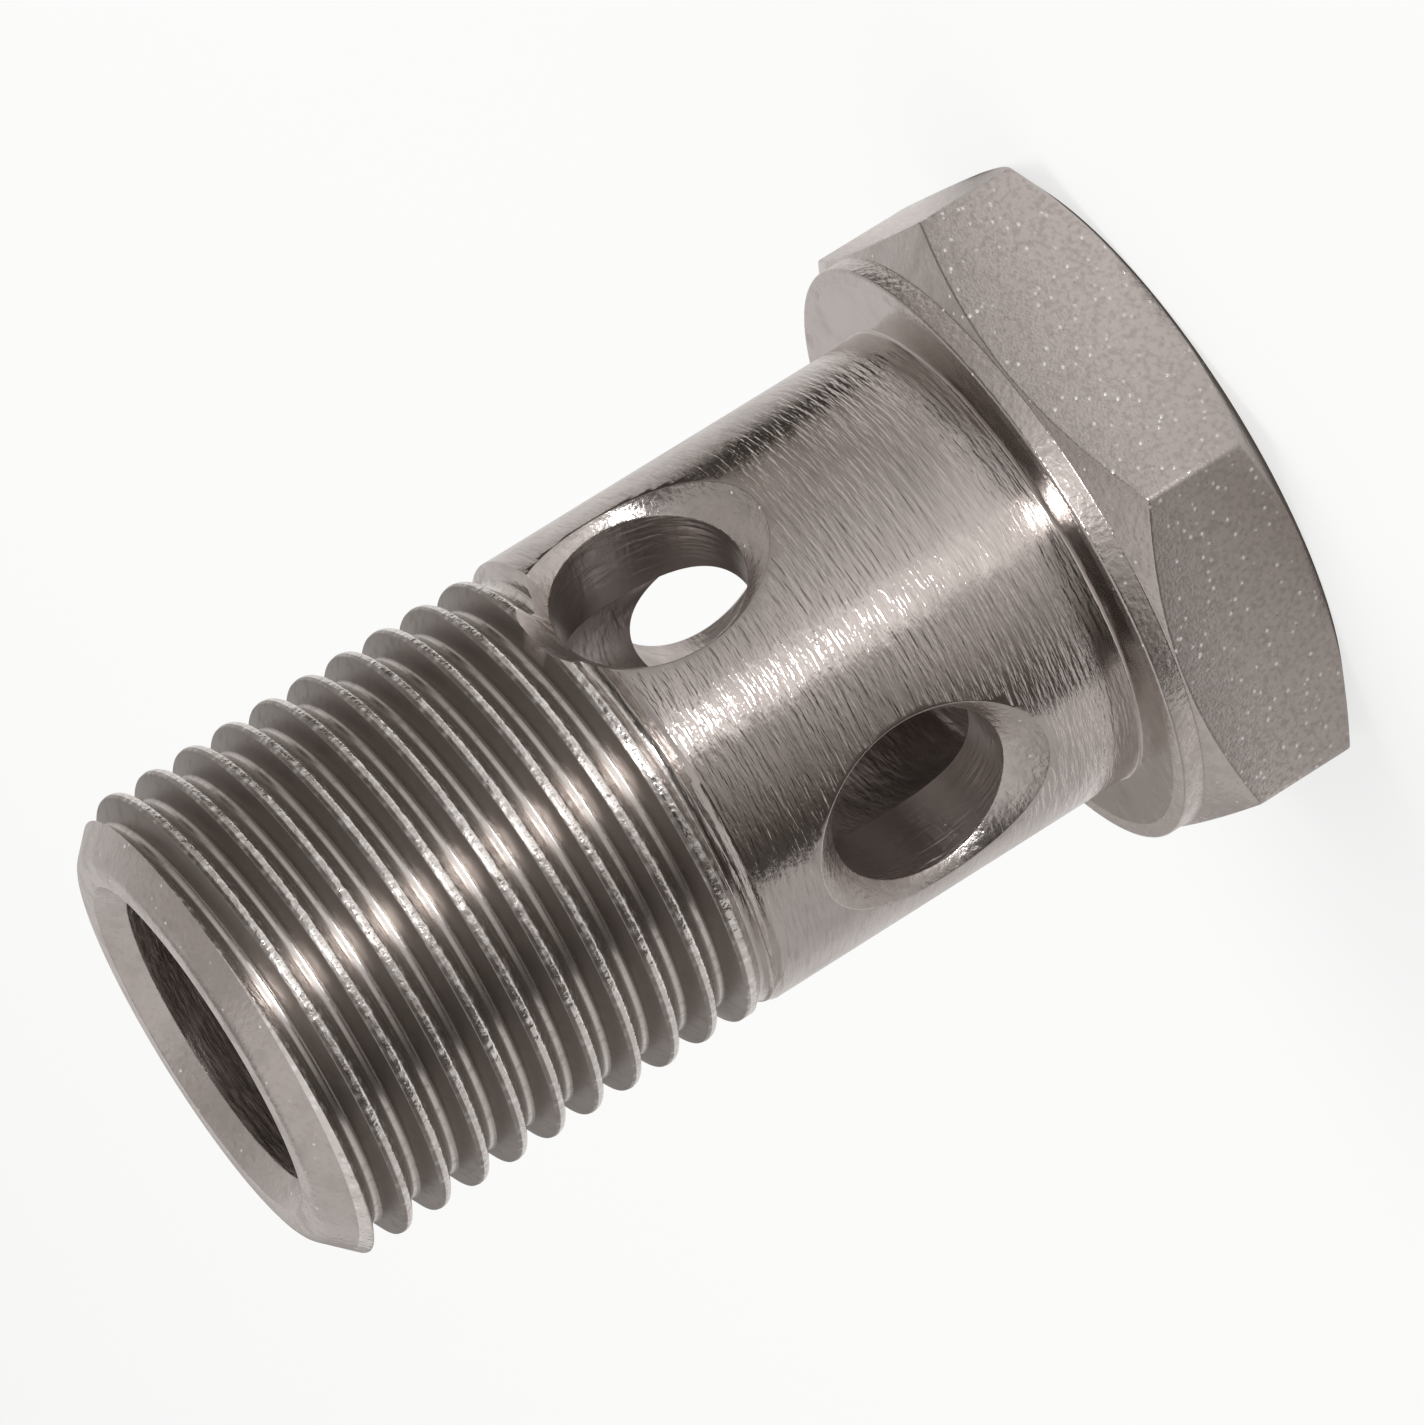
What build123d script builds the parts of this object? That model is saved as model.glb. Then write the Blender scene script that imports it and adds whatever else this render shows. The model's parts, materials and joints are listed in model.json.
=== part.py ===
# Banjo bolt: a turned hollow bolt whose cross ports let fluid pass from a banjo
# ring on the shank into the blind bore and out at the thread tip.
# Millimetres. The origin is the centre of the bearing face under the head and
# +Z runs along the bolt towards the thread tip. +X passes through a corner of
# the hexagon.
from build123d import *
from math import radians, sqrt, tan
import os

# Hexagon head, below the bearing face
head_height = 7.9             # bearing face to the flat top, washer face included
across_flats = 27.0
end_circle_inset = 0.1        # both end circles of the head lie this far inside its flats
head_chamfer_angle = 30.0     # cones on both ends of the hexagon, from the face plane
washer_face_thickness = 1.0

# Shank and thread, pipe thread G 1/2
under_head_length = 38.4
thread_diameter = 20.9
thread_pitch = 25.4 / 14
thread_depth = 1.1
thread_flank_angle = 27.5     # each side, from the plane square to the axis
thread_crest_width = 0.35
thread_length = 19.0          # full thread, from the tip to the run-out
runout_length = 2.0           # cone from the thread's root up to the shank
crest_from_tip = 2.94         # where the crest crosses +X
shank_over_thread = 0.1       # the plain shank is this much thicker than the thread
foot_cone = 0.15              # width of the small cone where the shank meets the bearing face

# Blind bore
bore_diameter = 13.2
bore_floor_height = 4.0       # end of the full bore, above the bearing face
drill_point_angle = 118.0
mouth_countersink = 0.95      # width of the cone round the bore's mouth
mouth_angle = 45.0
tip_land_width = 1.3          # flat ring between the mouth and the tip's outer chamfer
tip_chamfer_angle = 45.0

# Cross ports, each drilled through both walls
port_diameter = 8.0
port_countersink = 1.4        # width of the cone round each opening
port_countersink_angle = 45.0
head_port_height = 9.5        # above the bearing face
head_port_turn = 19.7         # degrees about +Z, from +X
port_stagger = 5.1            # the other port lies this much nearer the tip
port_spread = 86.5            # and is turned this far from the first

cut_margin = 1.0              # how far cutting solids stand clear of the metal

corner_radius = across_flats / sqrt(3)
end_circle_radius = across_flats / 2 - end_circle_inset
crest_radius = thread_diameter / 2
root_radius = crest_radius - thread_depth
shank_radius = (thread_diameter + shank_over_thread) / 2
runout_start = under_head_length - thread_length
shank_end = runout_start - runout_length
bore_radius = bore_diameter / 2
mouth_radius = bore_radius + mouth_countersink
tip_land_radius = mouth_radius + tip_land_width


def revolved(points):
    """Solid of revolution about Z from its outline in radius and height."""
    outline = Polyline(*[(radius, 0, height) for radius, height in points], close=True)
    return revolve(make_face(outline), axis=Axis.Z)


def cone_height(outer_radius, inner_radius, angle):
    """Axial length of a cone between two radii, its angle taken from the face plane."""
    return (outer_radius - inner_radius) * tan(radians(angle))


def head():
    """Hexagon over its washer face, with a cone on each end."""
    wide = corner_radius + cut_margin
    cone = cone_height(wide, end_circle_radius, head_chamfer_angle)
    hexagon = extrude(RegularPolygon(corner_radius, 6), amount=-head_height)
    envelope = revolved([
        (0, 0),
        (end_circle_radius, 0),
        (end_circle_radius, -washer_face_thickness),
        (wide, -washer_face_thickness - cone),
        (wide, -head_height + cone),
        (end_circle_radius, -head_height),
        (0, -head_height),
    ])
    return hexagon & envelope


def shank():
    """Plain shank, closed by a cone that sinks below the thread's root."""
    slope = (shank_radius - root_radius) / runout_length
    sunk_radius = root_radius - cut_margin / 2
    cone_end = shank_end + (shank_radius - sunk_radius) / slope
    return revolved([
        (0, -head_height / 2),
        (shank_radius, -head_height / 2),
        (shank_radius, shank_end),
        (sunk_radius, cone_end),
        (0, cone_end),
    ])


def thread_ridge(start, end):
    """Right-hand helical ridge with straight flanks and a narrow flat crest."""
    foot_radius = root_radius - cut_margin / 4
    crest_half = thread_crest_width / 2
    foot_half = crest_half + (crest_radius - foot_radius) * tan(radians(thread_flank_angle))
    outline = Polyline(
        (foot_radius, 0, start - foot_half),
        (crest_radius, 0, start - crest_half),
        (crest_radius, 0, start + crest_half),
        (foot_radius, 0, start + foot_half),
        close=True,
    )
    helix = Helix(pitch=thread_pitch, height=end - start, radius=crest_radius, center=(0, 0, start))
    return sweep(make_face(outline), path=helix, is_frenet=True)


def threaded_rod():
    """Thread on its root cylinder, trimmed to the end face and the tip's chamfer."""
    ridge_start = under_head_length - crest_from_tip
    while ridge_start > shank_end - thread_pitch:
        ridge_start -= thread_pitch
    ridge_end = under_head_length + 1.5 * thread_pitch
    rod_start = ridge_start - 2 * thread_pitch
    rod_length = ridge_end + 2 * thread_pitch - rod_start
    on_base = (Align.CENTER, Align.CENTER, Align.MIN)
    rod = Pos(0, 0, rod_start) * Rot(0, 0, 90) * Cylinder(root_radius, rod_length, align=on_base)
    wide = shank_radius + cut_margin
    chamfer = cone_height(wide, tip_land_radius, tip_chamfer_angle)
    envelope = revolved([
        (0, rod_start + thread_pitch / 2),
        (wide, rod_start + thread_pitch / 2),
        (wide, under_head_length - chamfer),
        (tip_land_radius, under_head_length),
        (0, under_head_length),
    ])
    return (rod + thread_ridge(ridge_start, ridge_end)) & (Rot(0, 0, 90) * envelope)


def fill_foot(body):
    """Small cone between the shank and the bearing face."""
    foot = body.edges().filter_by(GeomType.CIRCLE).filter_by(
        lambda edge: abs(edge.center().Z) < 1e-6 and abs(edge.radius - shank_radius) < 1e-6
    )
    return chamfer(foot, foot_cone)


def bore():
    """Blind bore with its drill point and the countersink at the mouth."""
    point = bore_radius / tan(radians(drill_point_angle / 2))
    cone = cone_height(mouth_radius, bore_radius, mouth_angle)
    top = under_head_length + cut_margin
    return revolved([
        (0, bore_floor_height - point),
        (bore_radius, bore_floor_height),
        (bore_radius, under_head_length - cone),
        (mouth_radius, under_head_length),
        (mouth_radius, top),
        (0, top),
    ])


def port(height, turn):
    """Cross port through both walls, countersunk where it opens on the shank."""
    drill = port_diameter / 2
    rim = drill + port_countersink
    wide = rim + cut_margin
    sunk = shank_radius - cone_height(rim, drill, port_countersink_angle)
    clear = shank_radius + cone_height(wide, rim, port_countersink_angle)
    tool = revolved([
        (0, -clear),
        (wide, -clear),
        (drill, -sunk),
        (drill, sunk),
        (wide, clear),
        (0, clear),
    ])
    return Pos(0, 0, height) * Rot(0, 0, turn) * Rot(0, 90, 0) * tool


def banjo_bolt():
    """The whole bolt: outside first, then the bore and the ports."""
    body = fill_foot(head() + shank()) + threaded_rod()
    body -= bore()
    body -= port(head_port_height, head_port_turn)
    body -= port(head_port_height + port_stagger, head_port_turn + port_spread)
    return body


os.makedirs("parts", exist_ok=True)
bolt = banjo_bolt()
export_step(bolt, "parts/banjo_bolt.step")
print("banjo_bolt:", len(bolt.solids()), "solid,", len(bolt.faces()), "faces,", round(bolt.volume, 1), "mm3")
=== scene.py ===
# Banjo bolt with a G 1/2 thread: turned from one bar and nickel plated, so it is one mesh.
# Lengths in the dictionaries are millimetres and angles are degrees.
import bpy
import json
import math
import numpy as np
from mathutils import Matrix, Vector


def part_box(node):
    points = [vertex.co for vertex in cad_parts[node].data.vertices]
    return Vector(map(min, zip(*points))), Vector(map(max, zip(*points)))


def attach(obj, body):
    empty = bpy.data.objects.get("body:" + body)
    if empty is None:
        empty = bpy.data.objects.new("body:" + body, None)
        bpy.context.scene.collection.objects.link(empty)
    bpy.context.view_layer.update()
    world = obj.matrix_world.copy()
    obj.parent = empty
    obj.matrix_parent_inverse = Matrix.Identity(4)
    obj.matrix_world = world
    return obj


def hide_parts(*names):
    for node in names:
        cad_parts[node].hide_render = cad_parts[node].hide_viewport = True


mm = 0.001

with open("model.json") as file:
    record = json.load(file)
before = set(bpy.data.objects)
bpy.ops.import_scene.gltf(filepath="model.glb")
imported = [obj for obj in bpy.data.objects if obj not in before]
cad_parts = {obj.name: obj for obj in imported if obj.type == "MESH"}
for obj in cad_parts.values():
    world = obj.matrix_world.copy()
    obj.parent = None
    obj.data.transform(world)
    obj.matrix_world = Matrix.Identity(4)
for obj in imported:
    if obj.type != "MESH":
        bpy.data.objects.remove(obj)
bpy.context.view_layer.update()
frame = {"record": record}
solidLow, solidHigh = (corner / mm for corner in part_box("banjo_bolt"))
mounts = {mount["name"]: mount for mount in frame["record"]["mounts"]}
print("frame loaded")


# Small helpers

def toLinear(hexColour):
    channels = [int(hexColour[i:i + 2], 16) / 255 for i in (1, 3, 5)]
    return [c / 12.92 if c <= 0.04045 else ((c + 0.055) / 1.055) ** 2.4 for c in channels] + [1]


def addNode(tree, kind, values=None, links=None, **settings):
    node = tree.nodes.new(kind)
    for name, value in settings.items():
        setattr(node, name, value)
    for socket, value in (values or {}).items():
        node.inputs[socket].default_value = value
    for socket, source in (links or {}).items():
        tree.links.new(source, node.inputs[socket])
    return node


def axisDistance(tree, place):
    level = addNode(tree, "ShaderNodeVectorMath", {1: (1, 1, 0)}, {0: place}, operation="MULTIPLY").outputs[0]
    return addNode(tree, "ShaderNodeVectorMath", None, {0: level}, operation="LENGTH").outputs["Value"]


def unit(vectors):
    return vectors / np.linalg.norm(vectors, axis=1, keepdims=True)


def softMin(a, b, blend):
    return np.minimum(a, b) - np.maximum(blend - np.abs(a - b), 0) ** 2 / (4 * blend)


def circleAngles(count):
    return np.arange(count) * 2 * math.pi / count


def roundCorners(points, radii, steps=4, room=0.48):
    # each point holds radius and height for every column; an inner corner becomes an arc of so many steps,
    # which takes no more than this share of the shorter edge beside it
    points = [np.asarray(point, float) for point in points]
    outline = [points[0]]
    for before, corner, after, radius in zip(points, points[1:], points[2:], radii):
        inward, outward = corner - before, after - corner
        shorter = np.minimum(*(np.linalg.norm(side, axis=1, keepdims=True) for side in (inward, outward)))
        inward, outward = unit(inward), unit(outward)
        halfTurn = np.arccos(np.clip((inward * outward).sum(1, keepdims=True), -1, 1)) / 2
        reach = np.minimum(radius * np.tan(halfTurn), room * shorter)
        inside, along = unit(outward - inward), unit(outward + inward)
        centre = corner + inside * reach / np.sin(halfTurn)
        for share in np.linspace(-1, 1, steps + 1):
            turned = share * halfTurn
            towards = along * np.sin(turned) - inside * np.cos(turned)
            outline.append(centre + towards * reach / np.tan(halfTurn))
    outline.append(points[-1])
    return outline


def tubeFaces(rings, sides):
    # quads that join rings of so many points each
    faces = []
    for i in range(rings - 1):
        for j in range(sides):
            k = (j + 1) % sides
            faces.append([i * sides + j, i * sides + k, (i + 1) * sides + k, (i + 1) * sides + j])
    return faces


# The bolt's skin: rings of points round the axis, joined into quads from the head to the bore

bolt = {
    "columns": 180,             # points round the axis, a multiple of twelve
    "sharpFrom": 38,            # an edge that turns by more than this stays sharp
    "tip": solidHigh.z,         # 38.4 above the bearing face
    "shankRadius": 10.5,
    "plainFrom": 1,             # the shank's even rows start at this height
    "plainTo": 17.0,            # height where the helical rows of the thread begin
    "plainRows": 25,
    "footRound": 0.15,
    "marksAtHead": 0.5,         # strength of the tool marks next to the head
    "marksRise": 16,            # height over which their strength would rise by 1
    "boreRadius": mounts["bore"]["dims"]["r_mm"],
    "boreFloor": 4.0,
    "boreFloorRound": 0.5,
    "boreRows": 20,
    "boreRowsFrom": 2,          # the even rows start this far past the mouth's cone
    "boreRowsTo": 1.5,          # and stop this far above the floor
    "besideRound": 1,           # length of wall that is kept for the rounding at each end of the bore
    "drillPoint": 118,
    "pointRing": 0.4,           # radius of the last ring before the drill point's centre
    "mouth": 7.55,
    "mouthRound": 0.12,
    "mouthFootRound": 0.1,      # where the mouth's cone meets the bore
    "land": 8.85,
    "landRound": 0.9,
}
finishes = {"turned": 0, "drawn": 1, "threaded": 2, "bored": 3, "faced": 4}

columns = bolt["columns"]
roundAngles = circleAngles(columns)
skin = {"points": [], "thinness": [], "lumps": [], "faces": [], "finishes": []}


def addRing(radii, heights, angles, thinness=0, lumps=1):
    first = len(skin["points"])
    radii, heights = np.broadcast_to(radii, columns), np.broadcast_to(heights, columns)
    skin["points"].extend(np.column_stack([radii * np.cos(angles), radii * np.sin(angles), heights]))
    skin["thinness"].extend(np.broadcast_to(thinness, columns))
    skin["lumps"].extend(np.broadcast_to(lumps, columns))
    return np.arange(first, first + columns)


def addCentre(height):
    return addRing(0, height, roundAngles)[0]


def addFace(corners, finish):
    corners = [c for i, c in enumerate(corners) if c != corners[i - 1]]
    if len(corners) > 2:
        skin["faces"].append(corners)
        skin["finishes"].append(finishes[finish])


def joinRings(lower, upper, finish):
    for j in range(columns):
        k = (j + 1) % columns
        addFace([lower[j], lower[k], upper[k], upper[j]], finish)


def addProfile(outline, angles, finishOf, previous, lumpsOf=lambda heights: 1):
    for i, ring in enumerate(outline):
        ringIndex = addRing(ring[:, 0], ring[:, 1], angles, 0, lumpsOf(ring[:, 1]))
        joinRings(previous, ringIndex, finishOf(i))
        previous = ringIndex
    return previous


def everyColumn(radius, height):
    return np.tile([radius, height], (columns, 1))


# Hexagon head: the long edges are soft from drawing, the end circles turned

head = {
    "top": solidLow.z,                              # 7.9 below the bearing face
    "apothem": (solidHigh.y - solidLow.y) / 2,      # 27 across flats
    "endCircle": 13.4,
    "innerCircle": 6.7,                             # the flat top's one ring of points between rim and centre
    "chamfer": 30,
    "washerFace": 1.0,
    "washerRim": 0.7,                               # width of the outer rows of the bearing face
    "longEdge": 0.35,
    "longEdgeSteps": 6,
    "topEdge": 0.16,
    "flatEdge": 0.16,
    "washerEdge": 0.14,
    "washerFoot": 0.1,
    "flatRows": range(9, 13),                       # the flats, with a part of the roundings beside them
}


def hexagonColumns():
    # a column's reach and angle on the hexagon, with a bunch of columns round each long edge
    half, arcHalf = columns // 12, head["longEdgeSteps"] // 2
    apothem, rounding, tilt = head["apothem"], head["longEdge"], math.radians(30)
    arcCentre = (apothem - rounding) / math.cos(tilt)
    arcEnd = np.array([arcCentre + rounding * math.cos(tilt), rounding * math.sin(tilt)])
    flatMiddle = apothem * np.array([math.cos(tilt), math.sin(tilt)])
    spots = []
    for i in range(half + 1):
        if i <= arcHalf:
            turn = tilt * i / arcHalf
            spots.append([arcCentre + rounding * math.cos(turn), rounding * math.sin(turn)])
        else:
            spots.append(arcEnd + (flatMiddle - arcEnd) * (i - arcHalf) / (half - arcHalf))
    spots = [[x, -y] for x, y in spots[:0:-1]] + spots[:-1]        # one sixth, centred on its long edge
    reach = np.tile([math.hypot(x, y) for x, y in spots], 6)
    angles = [sixth * math.pi / 3 + math.atan2(y, x) for sixth in range(6) for x, y in spots]
    return np.roll(reach, -half), np.roll(angles, -half)           # column 0 is on the edge at +X


def buildHead():
    reach, angles = hexagonColumns()
    circle, inner, top = head["endCircle"], head["innerCircle"], head["top"]
    cone = (reach - circle) * math.tan(math.radians(head["chamfer"]))
    corners = [
        everyColumn(inner, top),
        everyColumn(circle, top),
        np.column_stack([reach, top + cone]),
        np.column_stack([reach, -head["washerFace"] - cone]),
        everyColumn(circle, -head["washerFace"]),
        everyColumn(circle, 0),
        everyColumn(circle - head["washerRim"], 0),
    ]
    radii = [head["topEdge"], head["flatEdge"], head["flatEdge"], head["washerFoot"], head["washerEdge"]]
    outline = roundCorners(corners, radii)
    centre = addCentre(top)
    first = addRing(inner, top, angles)
    for j in range(columns):
        addFace([centre, first[(j + 1) % columns], first[j]], "faced")
    return addProfile(outline[1:], angles, lambda i: "drawn" if i in head["flatRows"] else "faced", first)


def markStrength(heights):
    # the turning marks are faint next to the head
    return np.clip(bolt["marksAtHead"] + heights / bolt["marksRise"], 0, 1)


def buildShank(previous):
    radius, low = bolt["shankRadius"], bolt["plainFrom"]
    corners = [everyColumn(radius + low, 0), everyColumn(radius, 0), everyColumn(radius, low)]
    outline = roundCorners(corners, [bolt["footRound"]])
    heights = np.linspace(low, bolt["plainTo"], bolt["plainRows"])
    outline = outline[:-1] + [everyColumn(radius, height) for height in heights]
    return addProfile(outline, roundAngles, lambda i: "turned", previous, markStrength)


# Thread: rounded crests and roots, 14 turns to the inch, right hand

thread = {
    "crest": 10.45,
    "pitch": 25.4 / 14,
    "flank": 27.5,
    # bends from the flank on the head's side over the crest, then on through the root: rounding, slope
    # reached in degrees, straight after it, how much painted shade darkens it and how lumpy
    "crestBends": [(0.25, -35, 0, 0, 1), (0.35, -4, 0.06, 0, 1),
                   (0.08, 16, 0.12, 0.8, 0.4), (0.08, 62.5, 0.03, 1, 0)],
    "rootBends": [(0.15, 4, 0, 0.3, 0), (0.65, -18, 0, 0, 0), (0.35, -62.5, 0, 0.7, 0.1)],
    "headFlank": (0.8, 0.6),    # painted shade and lumps where the head's flank meets the crest
    "tipFlank": (0.95, 0),      # the same where the tip's flank meets the root
    "bendStep": 9,              # degrees from one row to the next
    "crestOffset": -0.08,       # the highest line of the crest lies this far towards the head from its middle
    "crestBelowTip": 2.94,      # where the crest crosses +X
    "spareTurns": 2,            # turns laid out under the first one, cut off where the helical rows begin
    "runoutFrom": 17.4,
    "runoutTo": 19.4,
    "runoutLift": 1.3,          # depths of thread by which the run-out lifts its root, clear of the shank
    "finishFrom": 18.6,         # nearer the head than this the run-out is as smooth as the shank
    "endsAt": 37.3,             # from here to the tip its cone has cut the thread away
    "edgeBlend": 0.1,
    "cutFade": 0.15,            # the flank's painted shade is gone where the cone has cut this deep
    "snap": 0.001,              # points this close to an end of the thread take the point of its end ring
}


def walkBends(row, bends):
    # row is offset, radius, slope, painted shade and lumps
    rows = []
    for rounding, slope, straight, thinness, lumps in bends:
        start, end = math.radians(row[2]), math.radians(slope)
        side = math.copysign(rounding, end - start)
        steps = math.ceil(abs(slope - row[2]) / thread["bendStep"])
        for turn in np.linspace(start, end, steps + 1)[1:]:
            share = (turn - start) / (end - start)
            rows.append((row[0] + side * (math.sin(turn) - math.sin(start)),
                         row[1] + side * (math.cos(turn) - math.cos(start)), math.degrees(turn),
                         row[3] + share * (thinness - row[3]), row[4] + share * (lumps - row[4])))
        row = rows[-1]
        if straight:
            row = (row[0] + straight * math.cos(end), row[1] - straight * math.sin(end), *row[2:])
            rows.append(row)
    return rows


def threadSection():
    # the two straight flanks take up what the bends leave of the pitch
    steep = 90 - thread["flank"]
    cos, sin = math.cos(math.radians(steep)), math.sin(math.radians(steep))
    crest = walkBends((0, 0, -steep, *thread["headFlank"]), thread["crestBends"])
    root = walkBends((0, 0, steep, *thread["tipFlank"]), thread["rootBends"])
    both = (thread["pitch"] - crest[-1][0] - root[-1][0]) / cos
    tipFlank = (both + (crest[-1][1] + root[-1][1]) / sin) / 2
    rootStart = (crest[-1][0] + tipFlank * cos, crest[-1][1] - tipFlank * sin)
    root = [(0, 0, steep, *thread["tipFlank"])] + root
    root = [(rootStart[0] + row[0], rootStart[1] + row[1], *row[2:]) for row in root]
    top = max(crest, key=lambda row: row[1])
    shift, lift = thread["crestOffset"] - top[0], thread["crest"] - top[1]
    rows = [(0, 0, -steep, *thread["headFlank"])] + crest + root
    section = [(row[0] + shift, row[1] + lift, row[3], row[4]) for row in rows]
    return section, min(row[1] for row in section)


def buildThread(previous):
    section, root = threadSection()
    pitch, low, high = thread["pitch"], bolt["plainTo"], thread["endsAt"]
    start = (bolt["tip"] - thread["crestBelowTip"]) % pitch
    firstTurn = math.floor((low - start) / pitch) - thread["spareTurns"]
    lastTurn = math.ceil((high - start) / pitch) + 1
    tipCone = bolt["land"] + bolt["tip"]       # radius and height on the 45 degree cone add up to this
    upper = addRing(tipCone - high, high, roundAngles)
    rows = []
    for turn in range(firstTurn, lastTurn + 1):
        for offset, radius, thin, lumpy in section:
            heights = start + (turn + roundAngles / (2 * math.pi)) * pitch + offset
            runout = (thread["runoutTo"] - heights) / (thread["runoutTo"] - thread["runoutFrom"])
            runout = np.clip(runout, 0, thread["runoutLift"])
            lifted = radius + runout * (thread["crest"] - root)
            radii = softMin(lifted, bolt["shankRadius"], thread["edgeBlend"])
            radii = softMin(radii, tipCone - heights, thread["edgeBlend"])
            # the painted shade on the flanks and roots fades out where the cone or the run-out has cut the
            # thread away
            kept = np.clip(1 - (radius - radii) / thread["cutFade"], 0, 1) * np.clip(1 - runout, 0, 1)
            row = addRing(radii, heights, roundAngles, thin * kept, 1 + (lumpy - 1) * kept)
            row = np.where(heights <= low + thread["snap"], previous, row)
            rows.append(np.where(heights >= high - thread["snap"], upper, row))

    def cornerAt(k, j):
        # after the last column the row goes on one turn higher, and after the last row comes the end ring
        if j == columns:
            k, j = k + len(section), 0
        return rows[k][j] if k < len(rows) else upper[0]

    for k in range(len(rows) - 1):
        for j in range(columns):
            above = cornerAt(k + 1, j + 1)
            finish = "threaded" if skin["points"][above][2] > thread["finishFrom"] else "turned"
            addFace([cornerAt(k, j), cornerAt(k, j + 1), above, cornerAt(k + 1, j)], finish)
    return upper


def buildTipAndBore(previous):
    tip, bore, mouth, land, floor = (bolt[key] for key in ("tip", "boreRadius", "mouth", "land", "boreFloor"))
    coneFoot, beside, threadEnd = tip - (mouth - bore), bolt["besideRound"], thread["endsAt"]
    point = floor - bore / math.tan(math.radians(bolt["drillPoint"] / 2))
    corners = [(land + tip - threadEnd, threadEnd), (land, tip), (mouth, tip), (bore, coneFoot),
               (bore, coneFoot - beside)]
    radii = [bolt["landRound"], bolt["mouthRound"], bolt["mouthFootRound"]]
    outline = roundCorners([everyColumn(*c) for c in corners], radii)
    conesEnd = len(outline) - 2                # the rings from here on lie on the bore's wall
    heights = np.linspace(coneFoot - bolt["boreRowsFrom"], floor + bolt["boreRowsTo"], bolt["boreRows"])
    outline += [everyColumn(bore, height) for height in heights]
    corners = [(bore, floor + beside), (bore, floor), (bolt["pointRing"], point)]
    outline += roundCorners([everyColumn(*c) for c in corners], [bolt["boreFloorRound"]])
    last = addProfile(outline[1:], roundAngles, lambda i: "faced" if i < conesEnd else "bored", previous)
    centre = addCentre(point)
    for j in range(columns):
        addFace([last[j], last[(j + 1) % columns], centre], "bored")


def addCoat(mesh, name, values):
    mesh.attributes.new(name, "FLOAT", "POINT").data.foreach_set("value", values)


def meshObject(name, points, faces, faceFinishes=None, coats=()):
    used = sorted({corner for face in faces for corner in face})
    newIndex = {old: new for new, old in enumerate(used)}
    mesh = bpy.data.meshes.new(name)
    corners = [Vector(points[i]) * mm for i in used]
    mesh.from_pydata(corners, [], [[newIndex[c] for c in face] for face in faces])
    if faceFinishes:
        mesh.polygons.foreach_set("material_index", faceFinishes)
    for coat in coats:
        addCoat(mesh, coat, [skin[coat][i] for i in used])
    mesh.validate()
    made = bpy.data.objects.new(name, mesh)
    bpy.context.scene.collection.objects.link(made)
    return made


ring = buildHead()
ring = buildShank(ring)
ring = buildThread(ring)
buildTipAndBore(ring)
banjoBolt = meshObject("banjoBolt", skin["points"], skin["faces"], skin["finishes"], ("thinness", "lumps"))
print("skin built:", len(banjoBolt.data.polygons), "faces")


# Cross ports: each drill goes through both walls, and its countersink ends in a broken edge

port = {
    "radius": mounts["head_port"]["dims"]["r_mm"],
    "countersinkFrom": 9.1,     # distance from the bolt's axis where the cone leaves the port's wall
    "innerEdge": 0.2,
    "innerRows": 5,
    "innerBulge": 0.12,         # how far the rounded inner edge stands out from its corner, as a share of it
    "rimBreak": 0.02,           # how far below the shank's surface the edge starts to turn
    "rimTurns": [(1 / 3, 0.025), (2 / 3, 0.2)],     # share of the turn towards the surface, and length
    "clear": (0.2, 2),          # the last ring of the tool stands this much wider and farther out
    "sides": 128,
}


def portTool(name, height, turn):
    radius, start, sides = port["radius"], port["countersinkFrom"], port["sides"]
    shankRadius, around = bolt["shankRadius"], circleAngles(sides)
    across = np.cos(around) ** 2
    # where the 45 degree cone meets the shank
    lean = math.pi / 4
    rise = start - radius
    rim = (-rise + np.sqrt(rise ** 2 - (1 + across) * (rise ** 2 - shankRadius ** 2))) / (1 + across)
    surfaceTilt = -np.arctan(rim * across / np.sqrt(shankRadius ** 2 - rim ** 2 * across))
    rings = [(np.full_like(rim, radius), np.zeros_like(rim))]
    bend = port["innerEdge"] * math.tan(lean / 2)
    for share in np.linspace(-1, 1, port["innerRows"]):
        along = radius + max(share, 0) * bend * math.cos(lean) + (1 - abs(share)) * bend * port["innerBulge"]
        out = start + (share * bend if share < 0 else share * bend * math.sin(lean))
        rings.append((np.full_like(rim, along), np.full_like(rim, out)))
    edge, out = rim - port["rimBreak"], rim - port["rimBreak"] + rise
    rings.append((edge, out))
    for share, length in port["rimTurns"]:
        direction = lean + (surfaceTilt - lean) * share
        edge, out = edge + length * np.cos(direction), out + length * np.sin(direction)
        rings.append((edge, out))
    rings.append((edge + port["clear"][0], out + port["clear"][1]))
    rings = [(r, -o) for r, o in rings[:0:-1]] + rings
    points, faceFinishes = [], []
    for ringRadius, distance in rings:
        points += list(np.column_stack([distance, ringRadius * np.cos(around), ringRadius * np.sin(around)]))
    for nearer, farther in zip(rings, rings[1:]):
        farthest = max(np.abs(nearer[1]).max(), np.abs(farther[1]).max())
        faceFinishes += [finishes["bored" if farthest < start else "faced"]] * sides
    caps = [list(range(sides))[::-1], [(len(rings) - 1) * sides + j for j in range(sides)]]
    faceFinishes += [finishes["turned"]] * len(caps)
    tool = meshObject(name, points, tubeFaces(len(rings), sides) + caps, faceFinishes)
    addCoat(tool.data, "lumps", [1] * len(tool.data.vertices))
    tool.matrix_world = Matrix.Translation((0, 0, height)) @ Matrix.Rotation(turn, 4, "Z")
    return tool


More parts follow.
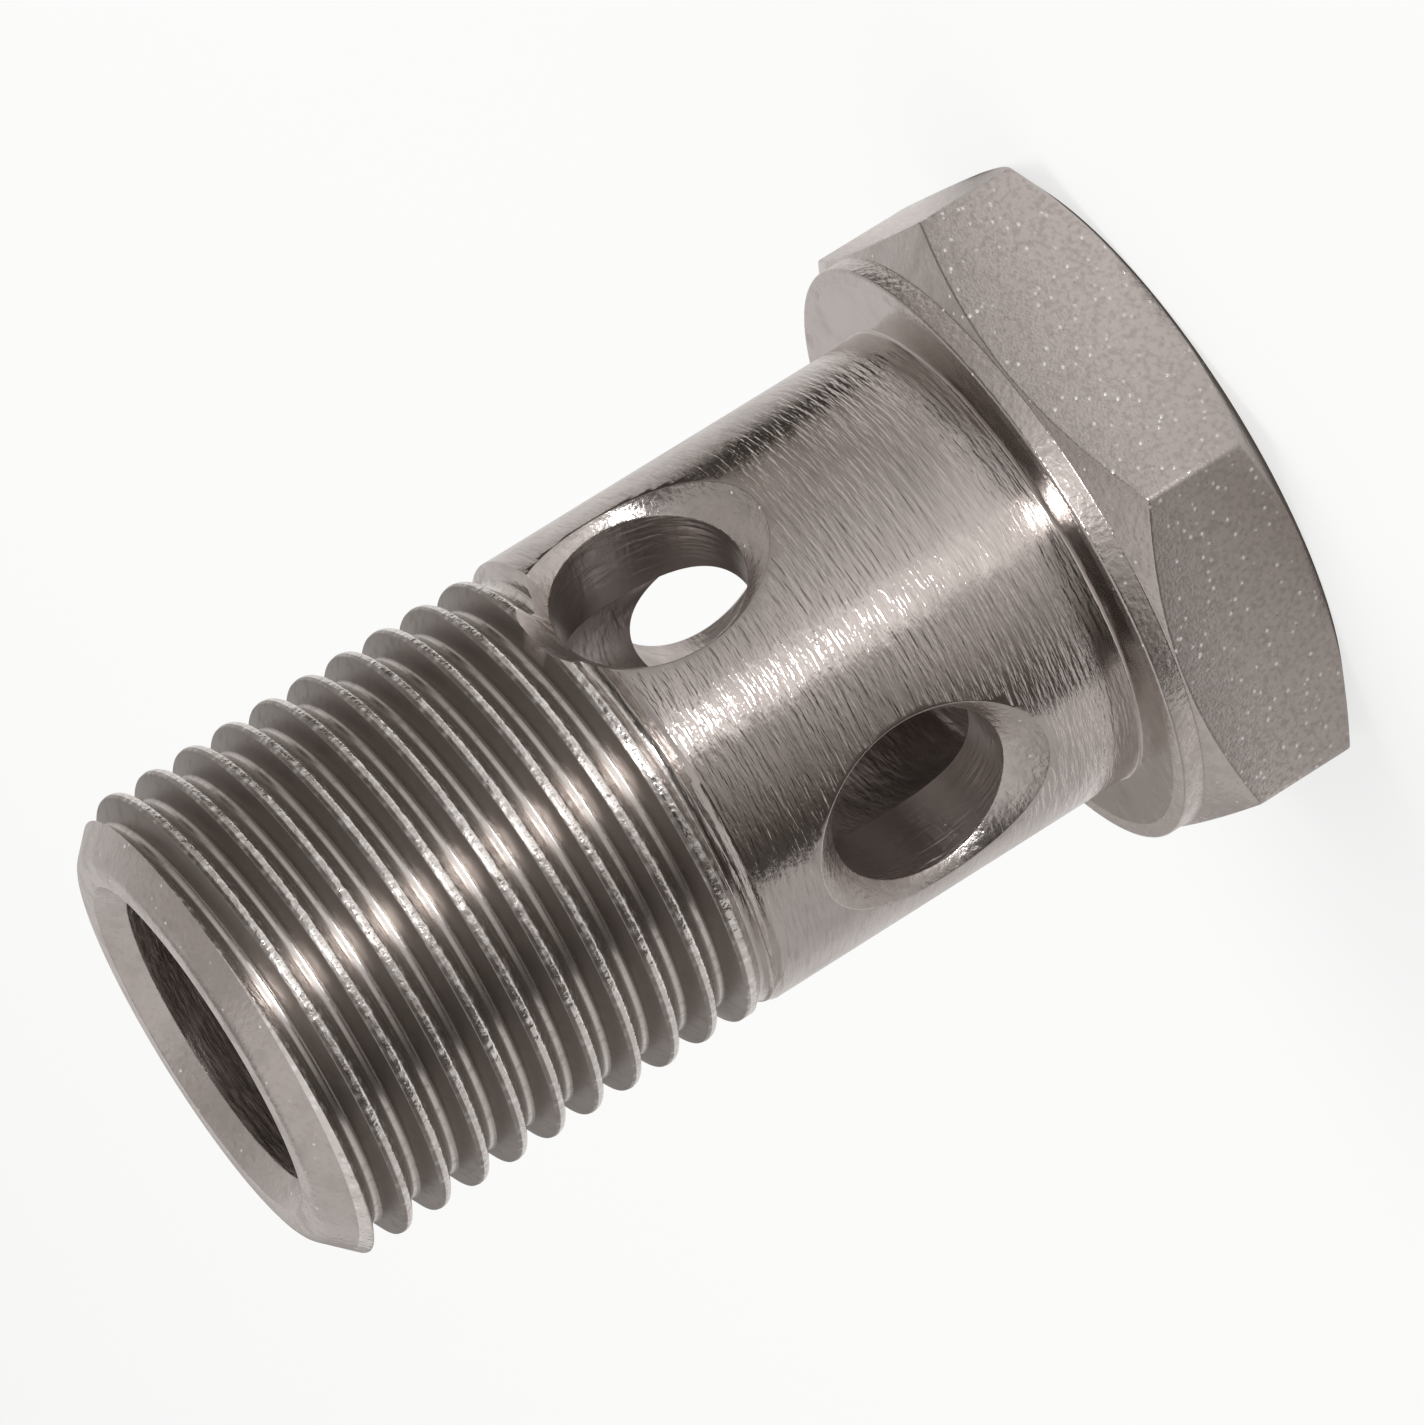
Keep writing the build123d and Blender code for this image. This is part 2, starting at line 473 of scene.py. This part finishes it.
def drill(target, tool):
    for surface in target.data.materials:
        tool.data.materials.append(surface)
    cut = target.modifiers.new(tool.name, "BOOLEAN")
    cut.operation = "DIFFERENCE"
    cut.solver = "MANIFOLD"
    cut.object = tool
    bpy.context.view_layer.update()
    drilled = bpy.data.meshes.new_from_object(target.evaluated_get(bpy.context.evaluated_depsgraph_get()))
    target.modifiers.clear()
    target.data = drilled
    bpy.data.objects.remove(tool)


# Materials: one nickel plate over brass; its texture follows how the brass below was worked, with painted
# shade and painted glints laid on it

plate = {
    "colour": "#D4CCC8",        # nickel: a warm grey next to chrome
    "thin": "#8F8782",          # colour of the plate's stains, and of the painted shade on the thread's flanks and roots, towards brown
    "speck": "#FFFCFA",         # painted glints: near-white matt dots that stand in for sparkles of light
}


def patternFrom(tree, place, layer):
    # a value of 0 to 1 from a pattern whose size is given in repeats per millimetre
    if layer.get("fromAxis"):       # it changes most with the distance from the bolt's axis
        apart = addNode(tree, "ShaderNodeCombineXYZ", None, {"X": axisDistance(tree, place)}).outputs[0]
        place = addNode(tree, "ShaderNodeVectorMath", {1: [layer["fromAxis"]] * 3}, {0: place, 2: apart},
                        operation="MULTIPLY_ADD").outputs[0]
    spread = addNode(tree, "ShaderNodeMapping", {"Scale": [s / mm for s in layer["perMm"]]},
                     {"Vector": place}).outputs["Vector"]
    if layer.get("specks"):
        cells = addNode(tree, "ShaderNodeTexVoronoi", {"Scale": 1}, {"Vector": spread})
        ends, source = (layer["specks"], 0), cells.outputs["Distance"]
    else:
        noise = addNode(tree, "ShaderNodeTexNoise", {"Scale": 1, "Detail": layer["detail"]},
                        {"Vector": spread})
        ends, source = layer.get("ends", (0.25, 0.75)), noise.outputs["Fac"]
    return addNode(tree, "ShaderNodeMapRange", {"From Min": ends[0], "From Max": ends[1]}, {"Value": source},
                   interpolation_type="SMOOTHSTEP").outputs["Result"]


def nickelPlate(name, finish):
    # a colour mix takes its two colours at sockets 6 and 7 and gives the mixed one at output 2
    material = bpy.data.materials.new(name)
    material.use_nodes = True
    tree = material.node_tree
    shader = tree.nodes["Principled BSDF"]
    shader.inputs["Metallic"].default_value = 1
    place = addNode(tree, "ShaderNodeTexCoord").outputs["Object"]
    thinness, lumps = (addNode(tree, "ShaderNodeAttribute", attribute_name=coat).outputs["Fac"]
                       for coat in ("thinness", "lumps"))
    bare = toLinear(finish.get("colour", plate["colour"]))
    thin, speck = toLinear(plate["thin"]), toLinear(plate["speck"])
    colour = None
    for stain in finish["stains"]:
        share = addNode(tree, "ShaderNodeMath", {1: stain["share"]}, {0: patternFrom(tree, place, stain)},
                        operation="MULTIPLY").outputs[0]
        links = {0: share, 6: colour} if colour else {0: share}
        colour = addNode(tree, "ShaderNodeMix", {6: bare, 7: thin}, links, data_type="RGBA").outputs[2]
    # painted shade: the thread's flanks and roots darken towards brown by the thinness attribute
    thinned = addNode(tree, "ShaderNodeMath", {1: finish.get("thinned", 0)}, {0: thinness},
                      operation="MULTIPLY").outputs[0]
    colour = addNode(tree, "ShaderNodeMix", {7: thin}, {0: thinned, 6: colour}, data_type="RGBA").outputs[2]
    # painted glints: near-white, less metallic dots where the lumps are
    if finish.get("grains"):
        grains = patternFrom(tree, place, finish["grains"])
        grains = addNode(tree, "ShaderNodeMath", None, {0: grains, 1: lumps}, operation="MULTIPLY").outputs[0]
        colour = addNode(tree, "ShaderNodeMix", {7: speck}, {0: grains, 6: colour},
                         data_type="RGBA").outputs[2]
        metal = addNode(tree, "ShaderNodeMapRange", {"To Min": 1, "To Max": finish["grains"]["metal"]},
                        {"Value": grains}).outputs["Result"]
        tree.links.new(metal, shader.inputs["Metallic"])
    tree.links.new(colour, shader.inputs["Base Color"])
    smoothest, roughest = finish["roughness"]
    rough = addNode(tree, "ShaderNodeMapRange", {"To Min": smoothest, "To Max": roughest},
                    {"Value": patternFrom(tree, place, finish["stains"][0])}).outputs["Result"]
    rough = addNode(tree, "ShaderNodeMath", {1: finish.get("dulled", 0)}, {0: thinness, 2: rough},
                    operation="MULTIPLY_ADD").outputs[0]
    tree.links.new(rough, shader.inputs["Roughness"])
    normal = None
    for bump in finish["bumps"]:
        links = {"Height": patternFrom(tree, place, bump), "Strength": lumps}
        if normal:
            links["Normal"] = normal
        normal = addNode(tree, "ShaderNodeBump", {"Distance": bump["depth"] * mm}, links).outputs["Normal"]
    tree.links.new(normal, shader.inputs["Normal"])
    return material


# turning leaves rings about 0.2 apart that break up the highlight along the shank
turnedNickel = nickelPlate("turned nickel plate", {
    "roughness": (0.13, 0.2),
    "stains": [{"perMm": (0.35, 0.35, 0.35), "detail": 6, "ends": (0.42, 0.7), "share": 0.24},
               {"perMm": (0.6, 0.6, 5), "detail": 3, "ends": (0.5, 0.75), "share": 0.25}],
    "bumps": [{"perMm": (0.7, 0.7, 5.2), "detail": 3, "depth": 0.022},
              {"perMm": (6, 6, 6), "detail": 2, "depth": 0.002}],
})
# the flats keep the skin of the drawn bar: dull and grainy, with painted glints and pinholes
drawnNickel = nickelPlate("drawn nickel plate", {
    "roughness": (0.3, 0.4),
    "stains": [{"perMm": (4.2, 4.2, 4.2), "detail": 5, "ends": (0.4, 0.7), "share": 0.32},
               {"perMm": (1.5, 1.5, 1.5), "specks": 0.12, "share": 0.7}],
    "grains": {"perMm": (1.9, 1.9, 1.9), "specks": 0.25, "metal": 0.3},
    "bumps": [{"perMm": (8, 8, 8), "detail": 3, "depth": 0.009},
              {"perMm": (1.9, 1.9, 1.9), "specks": 0.2, "depth": 0.03}],
})
# the cut thread is lumpy where plate gathers on its crests; its flanks and roots are darkened as painted
# shade, the tip's flank most, and its lumps carry painted glints
threadNickel = nickelPlate("threaded nickel plate", {
    "colour": "#F6F0EC",        # lighter than the rest of the plate: a painted highlight that brightens the crest and root lines
    "roughness": (0.16, 0.24),
    "thinned": 0.95,
    "dulled": 0.22,
    "stains": [{"perMm": (2.2, 2.2, 2.2), "detail": 3, "ends": (0.5, 0.68), "share": 0.25}],
    "grains": {"perMm": (2.4, 2.4, 2.4), "specks": 0.6, "metal": 0.6},
    "bumps": [{"perMm": (2.6, 2.6, 2.6), "detail": 2, "depth": 0.03},
              {"perMm": (7, 7, 7), "detail": 2, "depth": 0.003}],
})
# drilled walls are darkened in strong clouds towards brown, as painted shade inside the holes, with faint
# rings from the drill
boredNickel = nickelPlate("drilled nickel plate", {
    "roughness": (0.28, 0.4),
    "stains": [{"perMm": (0.5, 0.5, 0.5), "detail": 4, "ends": (0.2, 0.6), "share": 0.4}],
    "bumps": [{"perMm": (0.6, 0.6, 3.5), "detail": 3, "depth": 0.02},
              {"perMm": (3.5, 3.5, 3.5), "fromAxis": 0.15, "detail": 3, "depth": 0.05}],
})
# faced and chamfered surfaces are even and a little matt, with soft clouds in the plate and painted glints
facedNickel = nickelPlate("faced nickel plate", {
    "roughness": (0.24, 0.34),
    "stains": [{"perMm": (0.9, 0.9, 0.9), "detail": 5, "ends": (0.42, 0.72), "share": 0.16},
               {"perMm": (4, 4, 4), "detail": 3, "ends": (0.5, 0.75), "share": 0.16}],
    "grains": {"perMm": (1.3, 1.3, 1.3), "specks": 0.13, "metal": 0.4},
    "bumps": [{"perMm": (3.5, 3.5, 3.5), "detail": 4, "depth": 0.014}],
})
for surface in (turnedNickel, drawnNickel, threadNickel, boredNickel, facedNickel):
    banjoBolt.data.materials.append(surface)
print("materials made")

for name in ("head_port", "tip_port"):
    axis = mounts[name]["axis"]
    drill(banjoBolt, portTool(name, mounts[name]["pos_m"][2], math.atan2(axis[1], axis[0])))
banjoBolt.data.shade_smooth()
banjoBolt.data.set_sharp_from_angle(angle=math.radians(bolt["sharpFrom"]))
banjoBolt.data.name = "banjoBolt"
print("ports drilled:", len(banjoBolt.data.polygons), "faces")

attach(banjoBolt, "root")
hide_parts("banjo_bolt")


# Camera: a long lens a little above the bolt, rolled so that the head points to the upper right

view = {
    "lens": 227.37,
    "sensor": 36,
    "distance": 362.14,
    "azimuth": 65.118,
    "elevation": 13.675,
    "roll": -121.897,
    "aim": (-0.521, 0.242, 13.310),
    "clip": (10, 20000),
}


def addCamera():
    data = bpy.data.cameras.new("camera")
    data.lens = view["lens"]
    data.sensor_width = view["sensor"]
    data.clip_start, data.clip_end = (distance * mm for distance in view["clip"])
    camera = bpy.data.objects.new("camera", data)
    azimuth, elevation = math.radians(view["azimuth"]), math.radians(view["elevation"])
    back = Vector((math.cos(azimuth) * math.cos(elevation), math.sin(azimuth) * math.cos(elevation),
                   math.sin(elevation)))
    camera.location = (Vector(view["aim"]) + back * view["distance"]) * mm
    camera.rotation_mode = "QUATERNION"
    level = back.to_track_quat("Z", "Y")
    camera.rotation_quaternion = level @ Matrix.Rotation(math.radians(view["roll"]), 4, "Z").to_quaternion()
    bpy.context.scene.collection.objects.link(camera)
    bpy.context.scene.camera = camera


# Studio: a pale floor, soft lamps, and a tent of grey cards that only the metal shows

studio = {
    "floorRadius": 1500,
    "floorSides": 96,
    "floorDrop": 0.01,          # the floor lies this far below the head
    "floorColour": "#F4F3F1",
    "floorGlow": 0.74,          # share of the floor that is white by itself
    "worldLevel": 0.62,
    # place, width and height, power, and whether the metal shows it
    "lamps": [{"at": (-250, 150, 550), "size": (500, 500), "power": 1.9, "shows": False},
              {"at": (38.6, 106.2, 35), "size": (9, 30), "power": 0.042, "shows": True}],
}
tent = {
    "profile": [(13.3, -7.895), (17, -7.75), (44, -7.4), (115, 0), (160, 120), (110, 230), (2, 270)],
    "sides": 180,
    # brightness of the cards at degrees round the bolt from the camera, positive to its lower right
    "foot": [(-180, 0.1), (180, 0.1)],
    "near": [(-180, 0.8), (-120, 0.95), (-90, 0.5), (-60, 0.7), (-30, 0.75), (0, 0.6), (20, 0.3), (50, 0.42),
             (90, 0.5), (140, 0.6), (180, 0.8)],
    "ring": [(-180, 0.8), (-100, 0.8), (-64, 0.62), (-38, 0.66), (-17, 0.8), (9, 0.8), (29, 0.5), (55, 0.6),
             (82, 0.8), (180, 0.8)],
    "middle": [(-180, 0.8), (-150, 0.72), (-140, 0.68), (-126, 0.5), (-119, 0.3), (-113, 0.04), (-102, 0.06),
               (-93, 0.26), (-82, 0.33), (-55, 0.39), (-36, 0.49), (-18, 0.64), (-9, 1), (3, 1.1), (8, 0.42),
               (18, 0.4), (36, 0.24), (48, 0.11), (66, 0.05), (70, 0.47), (92, 0.52), (118, 0.49), (135, 0.6),
               (180, 0.8)],
    "high": [(-180, 0.62), (-150, 0.6), (-110, 0.42), (-90, 0.3), (-60, 0.2), (-35, 0.12), (-20, 0.03),
             (60, 0.03), (72, 0.4), (110, 0.42), (150, 0.38), (176, 0.3), (180, 0.5)],
    "top": [(-180, 0.7), (-155, 0.62), (-134, 0.55), (-100, 0.35), (-80, 0.07), (80, 0.07), (100, 0.35),
            (134, 0.55), (155, 0.62), (180, 0.7)],
    "sky": [(-180, 0.2), (-150, 0.5), (-134, 0.52), (-100, 0.4), (-60, 0.42), (-20, 0.48), (0, 0.56),
            (60, 0.62), (134, 0.6), (160, 0.5), (180, 0.2)],
    # where one zone turns into the next: by distance from the axis, then by height
    "byDistance": [("near", 13.6, 14.1), ("ring", 25, 30), ("middle", 38, 42)],
    "byHeight": [("high", 2, 25), ("top", 46, 58), ("sky", 105, 150)],
    "darkTone": (1, 0.86, 0.74),
    "lightTone": (1, 0.97, 0.95),
    "lightFrom": 0.5,           # cards of this brightness and more have the light tone
}


def paleFloor():
    sides, radius = studio["floorSides"], studio["floorRadius"]
    height = solidLow.z - studio["floorDrop"]
    points = [(radius * math.cos(a), radius * math.sin(a), height) for a in circleAngles(sides)]
    floor = meshObject("paleFloor", points, [list(range(sides))])
    material = bpy.data.materials.new("white paper")
    material.use_nodes = True
    tree = material.node_tree
    tree.nodes.clear()
    rays = addNode(tree, "ShaderNodeLightPath")
    seen = rays.outputs["Is Camera Ray"]
    for kind in ("Is Glossy Ray", "Is Transmission Ray"):
        seen = addNode(tree, "ShaderNodeMath", None, {0: seen, 1: rays.outputs[kind]},
                       operation="MAXIMUM").outputs[0]
    share = addNode(tree, "ShaderNodeMath", {1: studio["floorGlow"]}, {0: seen}, operation="MULTIPLY")
    paper = addNode(tree, "ShaderNodeBsdfDiffuse", {"Color": toLinear(studio["floorColour"])})
    glow = addNode(tree, "ShaderNodeEmission", {"Color": (1, 1, 1, 1), "Strength": 1})
    both = addNode(tree, "ShaderNodeMixShader", None,
                   {0: share.outputs[0], 1: paper.outputs[0], 2: glow.outputs[0]})
    addNode(tree, "ShaderNodeOutputMaterial", None, {"Surface": both.outputs[0]})
    floor.data.materials.append(material)


def cardTones(tree, turn, panels):
    ramp = addNode(tree, "ShaderNodeValToRGB", None, {"Fac": turn})
    stops = ramp.color_ramp.elements
    stops.remove(stops[1])
    for i, (degrees, level) in enumerate(sorted((-degrees, level) for degrees, level in panels)):
        stop = stops.new(0.5 + degrees / 360) if i else stops[0]
        stop.position = 0.5 + degrees / 360
        lightness = min(level / tent["lightFrom"], 1)
        tone = [dark + (light - dark) * lightness for dark, light in zip(tent["darkTone"], tent["lightTone"])]
        stop.color = [level * t for t in tone] + [1]
    return ramp.outputs["Color"]


def cardTent():
    sides, profile = tent["sides"], tent["profile"]
    points = [(r * math.cos(a), r * math.sin(a), h) for r, h in profile for a in circleAngles(sides)]
    cards = meshObject("cardTent", points, tubeFaces(len(profile), sides))
    material = bpy.data.materials.new("grey card")
    material.use_nodes = True
    tree = material.node_tree
    tree.nodes.clear()
    place = addNode(tree, "ShaderNodeTexCoord").outputs["Object"]
    facing = addNode(tree, "ShaderNodeMapping", {"Rotation": (0, 0, -math.radians(view["azimuth"]))},
                     {"Vector": place})
    turn = addNode(tree, "ShaderNodeTexGradient", None, {"Vector": facing.outputs["Vector"]},
                   gradient_type="RADIAL").outputs["Fac"]
    distance = axisDistance(tree, place)
    height = addNode(tree, "ShaderNodeSeparateXYZ", None, {0: place}).outputs["Z"]
    colour = cardTones(tree, turn, tent["foot"])
    steps = [(distance, step) for step in tent["byDistance"]] + [(height, step) for step in tent["byHeight"]]
    for source, (zone, start, end) in steps:
        share = addNode(tree, "ShaderNodeMapRange", {"From Min": start * mm, "From Max": end * mm},
                        {"Value": source}, interpolation_type="SMOOTHSTEP").outputs["Result"]
        tones = cardTones(tree, turn, tent[zone])
        colour = addNode(tree, "ShaderNodeMix", None, {0: share, 6: colour, 7: tones},
                         data_type="RGBA").outputs[2]
    glow = addNode(tree, "ShaderNodeEmission", {"Strength": 1}, {"Color": colour})
    addNode(tree, "ShaderNodeOutputMaterial", None, {"Surface": glow.outputs[0]})
    cards.data.materials.append(material)
    cards.visible_camera = False
    cards.visible_shadow = False
    cards.visible_diffuse = False


def softLamps():
    for i, lamp in enumerate(studio["lamps"]):
        data = bpy.data.lights.new("softLamp", "AREA")
        data.shape = "ELLIPSE"
        data.size, data.size_y = (side * mm for side in lamp["size"])
        data.energy = lamp["power"]
        made = bpy.data.objects.new("softLamp" + str(i), data)
        made.location = Vector(lamp["at"]) * mm
        made.rotation_mode = "QUATERNION"
        made.rotation_quaternion = made.location.to_track_quat("Z", "Y")
        made.visible_camera = False
        made.visible_glossy = lamp["shows"]
        made.visible_diffuse = not lamp["shows"]
        bpy.context.scene.collection.objects.link(made)


def whiteWorld():
    world = bpy.data.worlds.new("whiteWorld")
    bpy.context.scene.world = world
    world.use_nodes = True
    background = world.node_tree.nodes["Background"]
    background.inputs["Color"].default_value = (1, 1, 1, 1)
    background.inputs["Strength"].default_value = studio["worldLevel"]


paleFloor()
cardTent()
softLamps()
whiteWorld()
addCamera()
bpy.context.scene.view_settings.view_transform = "Standard"
print("studio set")
